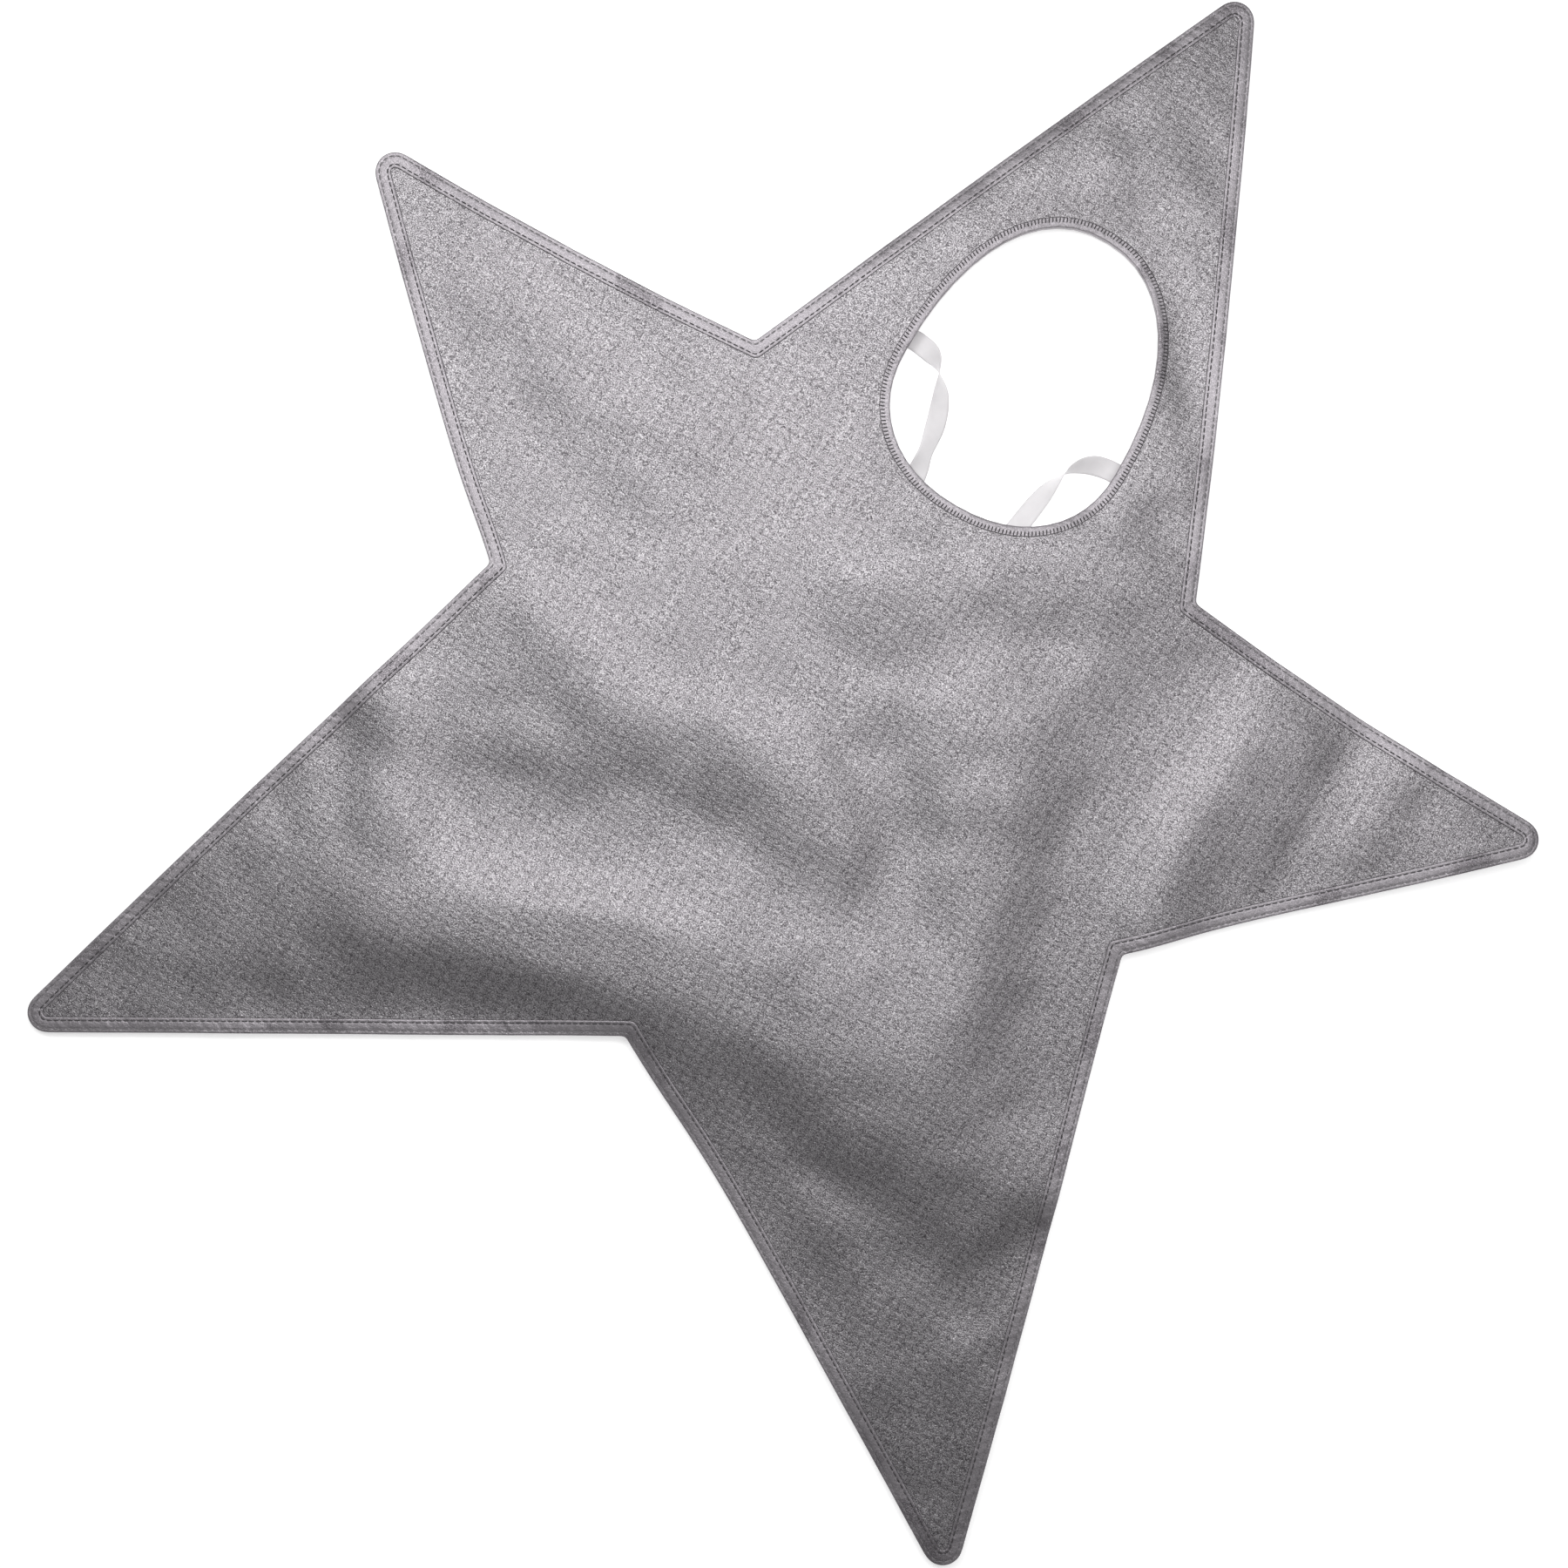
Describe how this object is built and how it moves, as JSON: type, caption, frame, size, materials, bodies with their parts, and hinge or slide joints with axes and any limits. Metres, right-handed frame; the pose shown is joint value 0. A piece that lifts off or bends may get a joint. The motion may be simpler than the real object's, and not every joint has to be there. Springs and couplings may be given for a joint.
{
  "type": "star costume cape",
  "caption": "Star-shaped costume cape of padded silver cloth with bound, double-stitched edges, an oval face opening and ribbon ties behind it.",
  "frame": {"origin": "centre of the star's outline, on the surface the cape lies on", "axes": "+Y towards the top point above the face opening, +X to the right seen from the front, +Z out of the silver front"},
  "size_m": [0.7708, 0.8594, 0.007],
  "materials": {
    "silver_lame": "metallic crepe lame, satin shine",
    "silver_binding": "the same metallic lame, folded",
    "interlining_felt": "matt white needle felt",
    "lining_cloth": "plain woven lining, faint sheen",
    "thread": "grey polyester sewing thread",
    "white_satin": "white satin ribbon"
  },
  "bodies": {
    "cape": {"front_panel": "silver_lame", "interlining": "interlining_felt", "back_lining": "lining_cloth", "outer_binding": "silver_binding", "opening_binding": "silver_binding", "edge_row_needle_thread": "thread", "edge_row_bobbin_thread": "thread", "hem_row_needle_thread": "thread", "hem_row_bobbin_thread": "thread", "opening_row_needle_thread": "thread", "opening_row_bobbin_thread": "thread", "left_tie_tack": "white_satin", "right_tie_tack": "white_satin"},
    "left_tie": {"left_tie_ribbon": "white_satin"},
    "right_tie": {"right_tie_ribbon": "white_satin"}
  },
  "joints": [
    {"name": "left_tie_hinge", "type": "hinge", "parent": "cape", "child": "left_tie", "pos_m": [-0.0725, 0.1686, 0.0001], "axis": [0, 1, 0], "range_deg": [0, 90]},
    {"name": "right_tie_hinge", "type": "hinge", "parent": "cape", "child": "right_tie", "pos_m": [0.0725, 0.1618, 0.0001], "axis": [0, -1, 0], "range_deg": [0, 90]}
  ]
}
